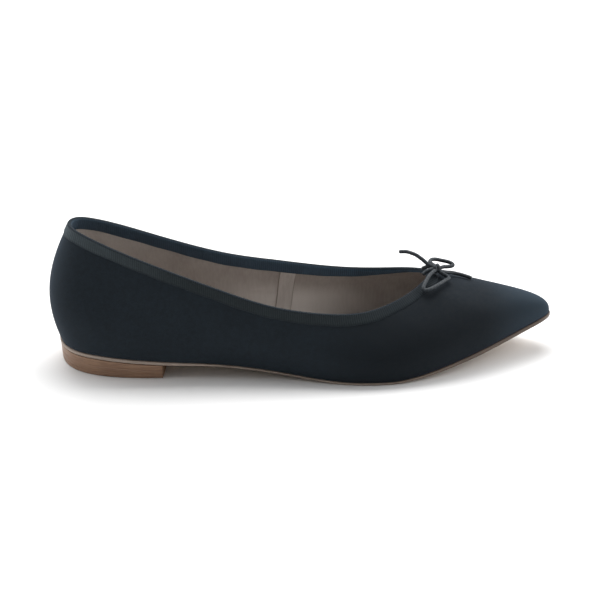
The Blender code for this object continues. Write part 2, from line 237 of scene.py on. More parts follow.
# One row for each section, heel to toe: shares of length (foot, rim), ball width (feet, rims) and back
# height, how much lower the outer topline runs in metres, then the lower wall's swell in metres and its rise,
# and the upper wall's lean from upright at the topline in degrees and its reach.
# footX, outerFoot, innerFoot, rimX, outerRim, innerRim, rimZ, drop, swell, rise, lean, reach
sections = (
    (0.017, 0.000, 0.000, 0.050, 0.000, 0.000, 1.016, 0.0, 0.0077, 0.38, 28.0, 0.41),       # heel back
    (0.046, 0.232, 0.226, 0.067, 0.125, 0.110, 1.006, 0.0, 0.0078, 0.38, 27.0, 0.39),       # heel corner
    (0.115, 0.346, 0.324, 0.122, 0.215, 0.178, 0.938, 0.0, 0.0060, 0.37, 20.0, 0.35),       # heel side
    (0.226, 0.376, 0.335, 0.222, 0.265, 0.218, 0.803, 0.0006, 0.0050, 0.36, 18.0, 0.34),    # heel breast
    (0.350, 0.374, 0.295, 0.345, 0.314, 0.250, 0.659, 0.0019, 0.0050, 0.38, 16.0, 0.34),    # waist
    (0.465, 0.408, 0.350, 0.445, 0.360, 0.300, 0.576, 0.0034, 0.0050, 0.38, 18.0, 0.34),    # shank
    (0.572, 0.478, 0.455, 0.540, 0.369, 0.352, 0.505, 0.0018, 0.0050, 0.42, 24.0, 0.34),    # ball's back
    (0.672, 0.483, 0.515, 0.622, 0.324, 0.385, 0.468, -0.0003, 0.0045, 0.46, 38.0, 0.36),   # ball
    (0.765, 0.392, 0.485, 0.690, 0.195, 0.325, 0.497, -0.0010, 0.0040, 0.52, 59.0, 0.42),   # throat side
    (0.862, 0.228, 0.360, 0.731, 0.074, 0.195, 0.555, -0.0002, 0.0026, 0.55, 71.0, 0.48),   # toe side
    (0.950, 0.045, 0.230, 0.746, 0.000, 0.110, 0.577, 0.0, 0.0014, 0.57, 72.0, 0.52),       # toe shoulder
    (1.000, -0.100, 0.100, 0.749, -0.055, 0.055, 0.584, 0.0, 0.0008, 0.58, 72.0, 0.52),     # toe tip
)
halfSpans = len(sections) - 1       # the ring runs heel back, outer side, toe tip, inner side
allSpans = 2 * halfSpans
tinySpan = 0.01                     # step for directions along the ring
ringSpans = np.linspace(0.0, allSpans, allSpans * last["perSpan"] + 1)


def ease(low, high, value):
    share = np.clip((value - low) / (high - low), 0.0, 1.0)
    return share * share * (3.0 - 2.0 * share)


def soleBottom(x):
    waist = last["waistHeight"] * (1.0 - ease(last["waistBack"], last["ballBack"], x))
    seat = last["seatRise"] * (1.0 - ease(last["seatBack"], last["seatFront"], x))
    share = np.clip((x - last["ballFront"]) / (last["length"] - last["ballFront"]), 0.0, None)
    return waist + seat + last["toeSpring"] * share ** last["springPower"]


def soleTop(x):
    ball = last["ballThickness"]
    seat = (last["seatThickness"] - ball) * (1.0 - ease(last["thinsFrom"], last["thinsTo"], x))
    toe = (last["toeThickness"] - ball) * ease(last["ballFront"], last["toeFront"], x)
    return soleBottom(x) + ball + seat + toe


# The sections all round the ring: foot (x, y) and rim (x, y, z) in metres, then the wall's swell to reach
def ringRows():
    length, width, height = last["length"], last["ballWidth"], last["backHeight"]
    outer = []
    inner = []
    for footX, outerFoot, innerFoot, rimX, outerRim, innerRim, rimZ, drop, *form in sections:
        foot, rim, top = footX * length, rimX * length, rimZ * height
        outer.append((foot, -outerFoot * width, rim, -outerRim * width, top - drop, *form))
        inner.append((foot, innerFoot * width, rim, innerRim * width, top, *form))
    return np.array(outer + inner[-2:0:-1])


# Places round the ring, by distance along the wall's foot, the same on both sides of the shoe
def ringKnots(rows):
    chord = np.linalg.norm(np.roll(rows[:, :2], -1, axis=0) - rows[:, :2], axis=1)
    mean = (chord[:halfSpans] + chord[: halfSpans - 1 : -1]) / 2.0
    return np.concatenate([[0.0], np.cumsum(np.concatenate([mean, mean[::-1]]))])


# A closed cubic spline through the ring's rows, read at any number of spans from the heel's back
def ringAt(spans):
    rows = ringRows()
    ends = ringKnots(rows)
    knots = ends[:-1]
    at = np.interp(np.asarray(spans) % allSpans, np.arange(allSpans + 1), ends)
    step = np.diff(ends)
    before = np.roll(step, 1)
    slope = (np.roll(rows, -1, axis=0) - rows) / step[:, None]
    index = np.arange(allSpans)
    matrix = np.zeros((allSpans, allSpans))
    matrix[index, index] = 2.0 * (before + step)
    matrix[index, (index - 1) % allSpans] = before
    matrix[index, (index + 1) % allSpans] = step
    bend = np.linalg.solve(matrix, 6.0 * (slope - np.roll(slope, 1, axis=0)))
    span = np.minimum(np.searchsorted(knots, at, side="right") - 1, allSpans - 1)
    after = (span + 1) % allSpans
    width = step[span][:, None]
    right = (at - knots[span])[:, None]
    left = width - right
    cubic = (bend[span] * left**3 + bend[after] * right**3) / (6.0 * width)
    lineLeft = (rows[span] / width - bend[span] * width / 6.0) * left
    lineRight = (rows[after] / width - bend[after] * width / 6.0) * right
    return cubic + lineLeft + lineRight


def unit(vectors):
    return vectors / np.linalg.norm(vectors, axis=-1, keepdims=True)


def ringEnds(spans):
    footX, footY, rimX, rimY, rimZ, swell, rise, lean, reach = ringAt(spans).T
    foot = np.stack([footX, footY, soleTop(footX) + last["gap"]], axis=1)
    rim = np.stack([rimX, rimY, rimZ], axis=1)
    return foot, rim, swell[:, None], rise[:, None], np.radians(lean)[:, None], reach[:, None]


# Level directions straight out of the ring's foot and rim
def levelOut(spans):
    before = ringEnds(spans - tinySpan)
    after = ringEnds(spans + tinySpan)
    along = [after[end] - before[end] for end in (0, 1)]
    return [unit(np.stack([a[:, 1], -a[:, 0], 0.0 * a[:, 0]], axis=1)) for a in along]


# The four control points of the wall's curve, foot to rim, at places round the shoe
def wallControl(spans):
    foot, rim, swell, rise, lean, reach = ringEnds(spans)
    footOut, rimOut = levelOut(spans)
    up = np.array([0.0, 0.0, 1.0])
    low = foot + footOut * swell + up * rise * (rim - foot)[:, 2:3]
    span = np.linalg.norm(rim - foot, axis=1)[:, None]
    high = rim + reach * span * (rimOut * np.sin(lean) - up * np.cos(lean))
    return foot, low, high, rim


def curvePoint(control, share):
    foot, low, high, rim = control
    rest = 1.0 - share
    return foot * rest**3 + low * (3 * rest**2 * share) + high * (3 * rest * share**2) + rim * share**3


# The wall's outer face: points, directions out of it, and directions up it
def wallFace(spans, share):
    spans = np.asarray(spans, float)
    share = np.broadcast_to(np.asarray(share, float), spans.shape)[:, None]
    control = wallControl(spans)
    foot, low, high, rim = control
    rest = 1.0 - share
    up = unit((low - foot) * rest**2 + (high - low) * (2 * rest * share) + (rim - high) * share**2)
    before = curvePoint(wallControl(spans - tinySpan), share)
    after = curvePoint(wallControl(spans + tinySpan), share)
    return curvePoint(control, share), unit(np.cross(after - before, up)), up


def shareAtDepth(spans, depth):         # depth below the topline
    high, rim = wallControl(spans)[2:]
    return 1.0 - depth / (3.0 * np.linalg.norm(rim - high, axis=1))


def footRing(spans, shift, height):     # the wall's foot moved out level, at the height of a function
    ring = wallControl(spans)[0] + levelOut(spans)[0] * shift
    ring[:, 2] = height(ring[:, 0])
    return ring


# Moves the last's own axes to the frame's, by the outsole's box there
def frameShift():
    edge = footRing(ringSpans, last["margin"], soleTop)
    low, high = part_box("outsole")
    middle = (edge.min(axis=0) + edge.max(axis=0)) / 2.0
    return np.array([(low.x + high.x) / 2.0 - middle[0], (low.y + high.y) / 2.0 - middle[1], 0.0])


toFrame = frameShift()
weld = 0.000002                     # points closer than this are one


# A grid whose points take worked-out places, row by row. Points that meet are merged.
# along and across give the UVs of its columns and rows.
def layGrid(places, along=None, across=None):
    rows, columns = places.shape[:2]
    bm = bmesh.new()
    uvLayer = bm.loops.layers.uv.new("UVMap")
    bmesh.ops.create_grid(bm, x_segments=columns - 1, y_segments=rows - 1, size=0.5)
    bm.verts.index_update()
    if along is not None:
        for face in bm.faces:
            for loop in face.loops:
                row, column = divmod(loop.vert.index, columns)
                loop[uvLayer].uv = (along[column], across[row])
    spots = places.reshape(-1, 3) + toFrame
    for vert in bm.verts:
        vert.co = spots[vert.index]
    bmesh.ops.remove_doubles(bm, verts=bm.verts, dist=weld)
    return bm


def runLength(points):                  # distance along a line of points, from 0
    return np.concatenate([[0.0], np.cumsum(np.linalg.norm(np.diff(points, axis=0), axis=1))])


def finishPiece(name, bm, finishes, slot, *replaced):
    mesh = bpy.data.meshes.new(name)
    bm.to_mesh(mesh)
    bm.free()
    mesh.shade_smooth()
    for finish in finishes:
        mesh.materials.append(finish)
    piece = bpy.data.objects.new(name, mesh)
    bpy.context.scene.collection.objects.link(piece)
    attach(piece, "root")
    if replaced:
        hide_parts(*replaced)
    print("made", name, "with", len(mesh.polygons), "faces")
    return piece


def thicken(piece, thickness):          # inwards from its faces
    wall = piece.modifiers.new("thickness", "SOLIDIFY")
    wall.thickness = thickness
    wall.offset = -1.0
    wall.use_even_offset = True


# Bow: a thin waxed cord for each side, out of the binding to the knot, round its loop, and back through the
# knot to its cut end. Route points are ahead of and across from the knot's middle, and lifted off the upper.
bow = {
    "diameter": 0.0020,
    "knotAhead": 0.004,
    "knotHeight": 0.0056,
    "bindingTop": 0.0008,               # the cord lies on the binding, this far out from the wall
    "around": 14,
    "step": 0.0005,
    "capWidth": 0.85,                   # an end's flat face, as a share of the radius
    "capInset": 0.15,                   # and how far its rounding runs up the cord
    "routes": {
        "bowCordOuter": (
            (-0.0072, -0.0034, 0.0006),
            (-0.0040, -0.0022, 0.0022),
            (0.0000, -0.0006, 0.0034),
            (-0.0020, -0.0036, 0.0027),
            (-0.0042, -0.0068, 0.0024),
            (-0.0062, -0.0106, 0.0022),
            (-0.0078, -0.0142, 0.0020),
            (-0.0072, -0.0156, 0.0019),
            (-0.0040, -0.0146, 0.0018),
            (0.0004, -0.0110, 0.0016),
            (0.0042, -0.0068, 0.0015),
            (0.0064, -0.0040, 0.0015),
            (0.0056, -0.0026, 0.0017),
            (0.0038, -0.0020, 0.0020),
            (0.0018, -0.0010, 0.0024),
            (0.0042, 0.0004, 0.0022),
            (0.0064, 0.0026, 0.0016),
            (0.0086, 0.0046, 0.0013),
            (0.0106, 0.0058, 0.0011),
            (0.0140, 0.0060, 0.0009),
            (0.0172, 0.0054, 0.0007),
            (0.0195, 0.0046, 0.0005),
        ),
        "bowCordInner": (
            (-0.0066, 0.0042, 0.0006),
            (-0.0036, 0.0026, 0.0024),
            (-0.0006, 0.0012, 0.0038),
            (-0.0025, 0.0036, 0.0043),
            (-0.0026, 0.0054, 0.0051),
            (-0.0014, 0.0070, 0.0058),
            (0.0008, 0.0080, 0.0062),
            (0.0038, 0.0084, 0.0062),
            (0.0070, 0.0080, 0.0062),
            (0.0090, 0.0070, 0.0060),
            (0.0096, 0.0058, 0.0054),
            (0.0082, 0.0048, 0.0047),
            (0.0058, 0.0038, 0.0042),
            (0.0046, 0.0032, 0.0041),
            (0.0004, 0.0008, 0.0032),
            (-0.0038, 0.0020, 0.0035),
            (-0.0068, 0.0040, 0.0058),
            (-0.0100, 0.0060, 0.0082),
            (-0.0124, 0.0072, 0.0093),
            (-0.0148, 0.0084, 0.0103),
            (-0.0184, 0.0097, 0.0111),
        ),
    },
    "replaced": {
        "bowCordOuter": ("bow_loop_outer", "bow_tail_front"),
        "bowCordInner": ("bow_loop_inner", "bow_tail_back"),
    },
    "knotted": "bowCordOuter",          # the cord that the knot is wrapped round
    "wrap": {                           # the knot's wraps: over the crossing from side to side
        "turns": 1.75,
        "start": -0.6,
        "points": 60,
        "width": 0.0030,
        "across": 0.0014,
        "height": 0.0017,
        "skew": 0.0010,
    },
    "dark": colour(0.0100, 0.0135, 0.0170),
    "light": colour(0.0320, 0.0400, 0.0480),
    "wax": (900.0, 3.0),
    "waxShare": 0.65,                   # of the tone, and the rest follows the strands
    "waxRelief": 0.5,                   # beside the strands' own
    "roughness": (0.5, 0.66),
    "gloss": 0.3,
    "relief": (0.5, 0.00006),
}

# The part of the wall that lies under the bow, as points to read its height from
underBow = {"spans": 5.0, "columns": 121, "lowest": 0.2, "levels": 60, "nearest": 6, "blur": 0.00005}
vampSpans = halfSpans + np.linspace(-underBow["spans"], underBow["spans"], underBow["columns"])
vampShares = np.linspace(underBow["lowest"], 1.0, underBow["levels"])
vampPoints = np.concatenate([wallFace(vampSpans, share)[0] for share in vampShares])


def vampHeight(x, y):
    distance = np.hypot(vampPoints[:, 0] - x, vampPoints[:, 1] - y)
    closest = np.argsort(distance)[: underBow["nearest"]]
    weight = 1.0 / (distance[closest] + underBow["blur"])
    return float((vampPoints[closest, 2] * weight).sum() / weight.sum())


def knotMiddle():
    front = wallControl(np.array([float(halfSpans)]))[3][0]
    x = front[0] + bow["knotAhead"]
    base = vampHeight(x, front[1]) + last["gap"] + bow["bindingTop"]
    return np.array([x, front[1], base + bow["knotHeight"] / 2.0])


def smoothRoute(points, step, fine=40):         # even steps along a smooth curve through the route's points
    ends = np.concatenate([[2 * points[0] - points[1]], points, [2 * points[-1] - points[-2]]])
    share = np.linspace(0.0, 1.0, fine, endpoint=False)[:, None]
    pieces = []
    for a, b, c, d in zip(ends, ends[1:], ends[2:], ends[3:]):
        bend = (2 * a - 5 * b + 4 * c - d) * share**2 + (3 * b - a - 3 * c + d) * share**3
        pieces.append(b + 0.5 * ((c - a) * share + bend))
    curve = np.concatenate(pieces + [points[-1:]])
    run = runLength(curve)
    at = np.linspace(0.0, run[-1], int(round(run[-1] / step)) + 1)
    return np.stack([np.interp(at, run, curve[:, axis]) for axis in range(3)], axis=1)


# Lines along a round tube, one for each place round it, its ends rounded off and closed at a pole
def tubePlaces(line, radius, around):
    along = unit(np.gradient(line, axis=0))
    side = np.cross(along[0], (0.0, 0.0, 1.0))
    sides = []
    for direction in along:
        side = unit(side - direction * (side @ direction))
        sides.append(side)
    sides = np.array(sides)
    tops = np.cross(along, sides)
    order = np.concatenate([[0, 0], np.arange(len(line)), [-1, -1]])
    middle = line[order]
    middle[2] += along[0] * radius * bow["capInset"]
    middle[-3] -= along[-1] * radius * bow["capInset"]
    width = np.full((len(order), 1), radius)
    width[[0, -1]] = 0.0
    width[[1, -2]] = radius * bow["capWidth"]
    angles = np.linspace(0.0, 2.0 * math.pi, around + 1)
    return np.stack([middle + (sides * math.cos(a) + tops * math.sin(a))[order] * width for a in angles])


def bowFinish():
    material, wires, feed = startFinish("waxedCord")
    uv = wires.node("TexCoord", out="UV")
    turn = 2.0 * math.pi / bow["diameter"]
    strands = (uv.axis(0) * turn + uv.axis(1) * (turn / math.pi)).maths("SINE") * 0.5 + 0.5
    wax = wires.node("TexCoord", out="Object").noise(*bow["wax"]).spread()
    tone = strands * (1.0 - bow["waxShare"]) + wax * bow["waxShare"]
    feed(
        Base_Color=tone.mix(bow["dark"], bow["light"]),
        Roughness=wax.ramp(0.0, 1.0, *bow["roughness"]),
        Specular_IOR_Level=bow["gloss"],
        Normal=(strands + wax * bow["waxRelief"]).bump(*bow["relief"]),
    )
    return material


def layCord(name, line, finish, *replaced):
    places = tubePlaces(line, bow["diameter"] / 2.0, bow["around"])
    run = np.pad(runLength(line), 2, mode="edge")
    girth = np.linspace(0.0, math.pi * bow["diameter"], bow["around"] + 1)
    bm = layGrid(places, run, girth)
    bmesh.ops.recalc_face_normals(bm, faces=bm.faces)
    return finishPiece(name, bm, [finish], "black_cord", *replaced)


def makeBow():
    finish = bowFinish()
    knot = knotMiddle()
    wrap = bow["wrap"]
    angle = wrap["start"] + np.linspace(0.0, wrap["turns"] * 2.0 * math.pi, wrap["points"])
    share = np.linspace(-0.5, 0.5, wrap["points"])
    coil = np.stack([
        wrap["width"] * share,
        wrap["across"] * np.cos(angle) + wrap["skew"] * share,
        wrap["height"] * np.sin(angle),
    ], axis=1)
    wraps = layCord("bowKnot", smoothRoute(knot + coil, bow["step"]), finish, "bow_knot")
    for name, route in bow["routes"].items():
        spots = []
        for ahead, across, lift in route:
            x, y = knot[0] + ahead, knot[1] + across
            spots.append((x, y, vampHeight(x, y) + bow["bindingTop"] + lift))
        line = smoothRoute(np.array(spots), bow["step"])
        cord = layCord(name, line, finish, *bow["replaced"][name])


# Upper: one shell of suede, lasted over the foot and turned in under it
upper = {
    "levels": 44,
    "thickness": 0.0009,
    "tuck": 0.0010,
    "tuckDrop": 0.0002,
    # creases: where one starts and ends (spans round the shoe, share up the wall), half width, depth
    "creases": (
        ((4.5, 0.90), (4.9, 0.30), 0.0060, 0.00022),
        ((6.9, 0.85), (7.4, 0.35), 0.0045, 0.00018),
        ((7.6, 0.85), (8.1, 0.40), 0.0040, -0.00016),
        ((17.6, 0.90), (17.1, 0.30), 0.0060, 0.00022),
        ((14.9, 0.85), (14.5, 0.35), 0.0045, 0.00018),
        ((14.2, 0.85), (13.8, 0.40), 0.0040, -0.00016),
        ((2.6, 0.10), (2.4, 0.75), 0.0050, -0.00018),
        ((19.4, 0.10), (19.6, 0.75), 0.0050, -0.00018),
    ),
    "dark": colour(0.0095, 0.0134, 0.0172),
    "light": colour(0.0175, 0.0245, 0.0315),
    "brush": (34.0, 3.0),               # noises, by scale, detail and roughness
    "mottle": (420.0, 4.0, 0.6),
    "nap": (1700.0, 2.0, 0.7),
    "toneShares": (0.3, 0.45, 0.25),    # of the three noises
    "mottleRelief": 0.6,                # beside the nap's own
    # painted shade darkens the vamp: metres ahead of the origin where that starts, is full, ebbs and ends
    "vampShade": (-0.01, 0.045, 0.090, 0.124),
    "vampShadeShare": 0.7,
    "vampShadeColour": colour(0.0030, 0.0042, 0.0052),
    # painted sheen: lighter and bluer towards the toe
    "toe": (0.090, 0.132),              # and lighter towards the toe, between these places
    "toeSheenShare": 0.6,
    "toeLight": colour(0.0240, 0.0390, 0.0540),
    "roughness": (0.82, 0.95),
    "gloss": 0.15,
    "sheen": 0.09,
    "sheenRoughness": 0.5,
    "sheenTint": colour(0.30, 0.42, 0.62),
    "relief": (0.45, 0.00012),
}
creaseEnds = (0.08, 0.92)           # shares of a crease's length, past which it gets no shallower


def creaseDepth(points, creases):
    total = np.zeros(len(points))
    for start, end, width, depth in creases:
        first = wallFace([start[0]], start[1])[0][0]
        second = wallFace([end[0]], end[1])[0][0]
        line = second - first
        share = np.clip((points - first) @ line / (line @ line), 0.0, 1.0)
        away = np.linalg.norm(points - first - share[:, None] * line, axis=1)
        total += depth * np.exp(-((away / width) ** 2)) * np.sin(math.pi * np.clip(share, *creaseEnds))
    return total[:, None]


def suedeFinish():
    material, wires, feed = startFinish("blackSuede")
    place = wires.node("TexCoord", out="Object")
    brush, mottle, nap = (place.noise(*upper[name]) for name in ("brush", "mottle", "nap"))
    ofBrush, ofMottle, ofNap = upper["toneShares"]
    tone = brush.spread() * ofBrush + mottle.spread() * ofMottle + nap.spread() * ofNap
    ahead = place.axis(0)
    # painted shade over the vamp
    starts, full, ebbs, ends = upper["vampShade"]
    vampShade = ahead.ramp(starts, full) * ahead.ramp(ebbs, ends, 1.0, 0.0)
    # painted sheen towards the toe
    toe = ahead.ramp(*upper["toe"])
    base = tone.mix(upper["dark"], upper["light"])
    base = (vampShade * upper["vampShadeShare"]).mix(base, upper["vampShadeColour"])
    base = (toe * upper["toeSheenShare"]).mix(base, upper["toeLight"])
    feed(
        Base_Color=base,
        Roughness=mottle.spread(*upper["roughness"]),
        Specular_IOR_Level=upper["gloss"],
        Sheen_Weight=upper["sheen"],
        Sheen_Roughness=upper["sheenRoughness"],
        Sheen_Tint=upper["sheenTint"],
        Normal=(nap + mottle * upper["mottleRelief"]).bump(*upper["relief"]),
    )
    return material


def makeUpper():
    rows = []
    for share in np.linspace(0.0, 1.0, upper["levels"]):
        points, out = wallFace(ringSpans, share)[:2]
        rows.append(points - out * creaseDepth(points, upper["creases"]))
    foot = rows[0] - levelOut(ringSpans)[0] * upper["tuck"]
    foot[:, 2] -= upper["tuckDrop"]
    bm = layGrid(np.stack([foot, *rows]))
    piece = finishPiece("upperSuede", bm, [suedeFinish()], "black_suede", "upper")
    thicken(piece, upper["thickness"])


# Lining: taupe leather inside the wall, with an overlapped seam on each side
lining = {
    "perSpan": 22,
    "levels": 46,
    "thickness": 0.0005,
    "top": 0.0035,              # it runs up behind the binding to this depth below the topline
    "lowest": 0.02,             # share of the wall where it meets the sock
    "strips": {                 # spans at its back and front edges, at the top and at the bottom
        "liningStripInner": ((16.90, 16.55), (17.22, 16.93)),
        "liningStripOuter": ((5.10, 5.45), (4.78, 5.07)),
    },
    "stripThickness": 0.00020,
    "stripTop": 0.0067,
    "stripLowest": 0.05,
    "stripColumns": 14,
    "creases": (
        ((17.62, 0.41), (17.20, 0.49), 0.0011, 0.00022),
        ((17.50, 0.36), (17.12, 0.42), 0.0010, -0.00018),
        ((4.40, 0.41), (4.82, 0.49), 0.0011, 0.00022),
    ),
    "dark": colour(0.295, 0.258, 0.236),
    "light": colour(0.428, 0.390, 0.364),
    "pale": colour(0.780, 0.740, 0.700),
    "patches": (45.0, 3.0),
    "patchShare": 0.5,
    "streaks": (900.0, 900.0, 60.0),                        # scale along each axis
    "streakNoise": (1.0, 2.0),
    "streakShare": 0.3,
    "streakRelief": 0.5,                                    # beside the pores' own
    "lifts": {"wall": 0.1, "strip": 0.25, "sock": 0.15},    # added to the tone
    "pores": 1500.0,
    "poreWidth": 0.12,
    # painted light, paler low on the wall along the ball: spans from the toe tip where that starts, is full,
    # ebbs and ends
    "paintedLight": (3.9, 5.3, 5.5, 7.6),
    "paintedLightHeights": (0.32, 0.74),                          # levels where it is full, and gone
    "paintedLightShare": 0.6,
    "heel": (7.0, 9.5),         # and a little paler at the heel
    "heelShare": 0.25,
    "stripPale": (0.2, 0.1),    # a strip's share of the pale tone, by its own tone and at least
    # a strip's edges are painted darker as shade
    "stripEdgeShade": (0.44, 0.5),
    "stripEdgeShadeShare": 0.75,
    "edgeDark": colour(0.200, 0.165, 0.145),
    "roughness": (0.48, 0.62),
    "gloss": 0.35,
    "relief": (0.3, 0.00006),
}


# On the wall, UVs are spans round the shoe and levels up it. On a strip they run across it from 0 to 1.
def liningFinish(name, kind):
    material, wires, feed = startFinish(name)
    place = wires.node("TexCoord", out="Object")
    uv = wires.node("TexCoord", out="UV")
    patches = place.noise(*lining["patches"])
    streaks = place.stretched(lining["streaks"]).noise(*lining["streakNoise"])
    cells = {"Vector": place, "Scale": lining["pores"]}
    pores = wires.node("TexVoronoi", {"feature": "DISTANCE_TO_EDGE"}, cells)
    relief = pores.ramp(0.0, lining["poreWidth"]) + streaks * lining["streakRelief"]
    tone = patches.spread() * lining["patchShare"] + streaks.spread() * lining["streakShare"]
    tone = tone + lining["lifts"][kind]
    base = tone.mix(lining["dark"], lining["light"])
    if kind == "strip":
        byTone, least = lining["stripPale"]
        # painted shade along a strip's edges
        edges = (uv.axis(0) - 0.5).maths("ABSOLUTE").ramp(*lining["stripEdgeShade"])
        base = (tone * byTone + least).mix(base, lining["pale"])
        base = (edges * lining["stripEdgeShadeShare"]).mix(base, lining["edgeDark"])
    elif kind == "wall":
        side = (uv.axis(0) - halfSpans).maths("ABSOLUTE")       # spans from the toe tip, alike on both sides
        # painted light, paler low on the wall along the ball
        starts, full, ebbs, ends = lining["paintedLight"]
        paintedLight = side.ramp(starts, full) * side.ramp(ebbs, ends, 1.0, 0.0)
        paintedLight = paintedLight * uv.axis(1).ramp(*lining["paintedLightHeights"], 1.0, 0.0) * lining["paintedLightShare"]
        heelEnd = side.ramp(*lining["heel"]) * lining["heelShare"]
        base = paintedLight.maths("MAXIMUM", heelEnd).mix(base, lining["pale"])
    feed(
        Base_Color=base,
        Roughness=patches.spread(*lining["roughness"]),
        Specular_IOR_Level=lining["gloss"],
        Normal=relief.bump(*lining["relief"]),
    )
    return material


# A row of places inside the wall, at a level from the lowest share (0) up to a depth below the topline (1)
def insideRow(spans, level, lowest, depth, inset, creases=()):
    top = shareAtDepth(spans, depth)
    points, out = wallFace(spans, lowest + (top - lowest) * level)[:2]
    return points - out * (inset + creaseDepth(points, creases))


def makeLining():
    wall, lowest, top, creases = last["wall"], lining["lowest"], lining["top"], lining["creases"]
    levels = np.linspace(1.0, 0.0, lining["levels"])
    spans = np.linspace(0.0, allSpans, allSpans * lining["perSpan"] + 1)
    rows = [insideRow(spans, level, lowest, top, wall, creases) for level in levels]
    finish = liningFinish("liningLeather", "wall")
    piece = finishPiece("liningLeather", layGrid(np.stack(rows), spans, levels), [finish], "sock_leather")
    thicken(piece, lining["thickness"])
    finish = liningFinish("liningStripLeather", "strip")
    across = np.linspace(0.0, 1.0, lining["stripColumns"])
    inset = wall + lining["stripThickness"]
    for name, (high, low) in lining["strips"].items():
        rows = []
        for level in levels:
            first, second = (low[end] + (high[end] - low[end]) * level for end in (0, 1))
            stripSpans = max(first, second) - abs(first - second) * across
            rows.append(insideRow(stripSpans, level, lining["stripLowest"], lining["stripTop"], inset))
        strip = finishPiece(name, layGrid(np.stack(rows), across, levels), [finish], "sock_leather")
        thicken(strip, lining["stripThickness"])


# Binding: grosgrain ribbon folded flat over the topline
binding = {
    "perSpan": 20,
    "depth": 0.0054,
    "inside": 0.0069,           # its hem hangs deeper inside than outside
    "foldRise": 0.0009,         # the fold stands over the topline by this
    "out": 0.00040,             # its face stands this far off the wall
    "hemOut": 0.00008,          # and its hem this far,
    "hemShare": 0.2,            # drawn in over this share of its depth
    "thickness": 0.00025,
    "heelInside": 0.0013,       # the inner hem hangs this much deeper still round the heel's back,
    "heelSpans": 0.8,           # over about this many spans to each side
    "foldSteps": 10,
    "sideSteps": 8,
    "uneven": 0.00018,          # how far the hems wander, in waves round the shoe (count, share)
    "waves": ((23.0, 0.6), (9.0, 0.4)),
    "rib": 0.0011,
    "worn": (120.0, 3.0),
    "threads": (2400.0, 2.0),
    "threadRelief": 0.5,        # beside the ribs' own
    "toneShares": (0.4, 0.35, 0.25),            # of ribs, threads and wear
    "dark": colour(0.0120, 0.0164, 0.0186),
    "light": colour(0.0300, 0.0380, 0.0415),
    # painted shade: the fold over the topline and the face near the throat are painted darker
    "paintedShadeDark": colour(0.0060, 0.0090, 0.0120),
    "foldShadeLight": colour(0.0130, 0.0185, 0.0240),
    "foldBlend": 0.0004,
    # painted light: the outer face is painted lighter towards the heel end
    "heelPaintedLight": colour(0.0640, 0.0800, 0.0900),
    "hemDark": colour(0.0105, 0.0145, 0.0180),
    "hemWidth": 0.0014,
    "hemDarkShare": 0.7,
    # painted light: the inner face is painted lighter than the outer, and lighter still towards the front
    "insidePaintedDark": colour(0.0310, 0.0480, 0.0660),
    "insidePaintedLight": colour(0.0560, 0.0860, 0.1200),
    "frontPaintedLight": colour(0.0860, 0.1480, 0.2180),
    # where the painted light and shade change, in metres along the ribbon from the throat
    "heelRun": (0.135, 0.195),
    "throatRun": (0.02, 0.07),
    "frontRun": (0.03, 0.14),
    "throatShadeShare": 0.75,
    "roughness": (0.72, 0.85),
    "gloss": 0.12,
    "sheen": 0.08,
    "sheenRoughness": 0.5,
    "sheenTint": colour(0.40, 0.50, 0.62),
    "relief": (0.6, 0.00016),
}


# foldStart and foldEnd are where the ribbon turns over the topline, in metres across it from the outer hem
def ribbonFinish(foldStart, foldEnd, halfRun):
    material, wires, feed = startFinish("grosgrainRibbon")
    place = wires.node("TexCoord", out="Object")
    uv = wires.node("TexCoord", out="UV")
    along, across = uv.axis(0), uv.axis(1)
    ribs = (along * (2.0 * math.pi / binding["rib"])).maths("SINE") * 0.5 + 0.5
    threads = place.noise(*binding["threads"])
    worn = place.noise(*binding["worn"]).spread()
    ofRibs, ofThreads, ofWear = binding["toneShares"]
    tone = ribs * ofRibs + threads * ofThreads + worn * ofWear
    fromThroat = (along - halfRun).maths("ABSOLUTE")
    # painted light at the heel end and painted shade near the throat, on the outer face
    heelEnd = fromThroat.ramp(*binding["heelRun"])
    throat = fromThroat.ramp(*binding["throatRun"], binding["throatShadeShare"], 0.0)
    front = fromThroat.ramp(*binding["frontRun"], 1.0, 0.0)
    hem = across.ramp(0.0, binding["hemWidth"], binding["hemDarkShare"], 0.0)
    # painted shade over the fold, and painted light on the inner face
    foldShade = across.ramp(foldStart - binding["foldBlend"], foldStart + binding["foldBlend"])
    inside = across.ramp((foldStart + foldEnd) / 2.0, foldEnd)
    plain = tone.mix(binding["dark"], binding["light"])
    face = heelEnd.mix(plain, tone.mix(binding["light"], binding["heelPaintedLight"]))
    face = throat.mix(face, binding["paintedShadeDark"])
    face = hem.mix(face, binding["hemDark"])
    base = foldShade.mix(face, tone.mix(binding["paintedShadeDark"], binding["foldShadeLight"]))
    insidePaintedLight = front.mix(binding["insidePaintedLight"], binding["frontPaintedLight"])
    base = inside.mix(base, tone.mix(binding["insidePaintedDark"], insidePaintedLight))
    feed(
        Base_Color=base,
        Roughness=worn.ramp(0.0, 1.0, *binding["roughness"]),
        Specular_IOR_Level=binding["gloss"],
        Sheen_Weight=binding["sheen"],
        Sheen_Roughness=binding["sheenRoughness"],
        Sheen_Tint=binding["sheenTint"],
        Normal=(ribs + threads * binding["threadRelief"]).bump(*binding["relief"]),
    )
    return material


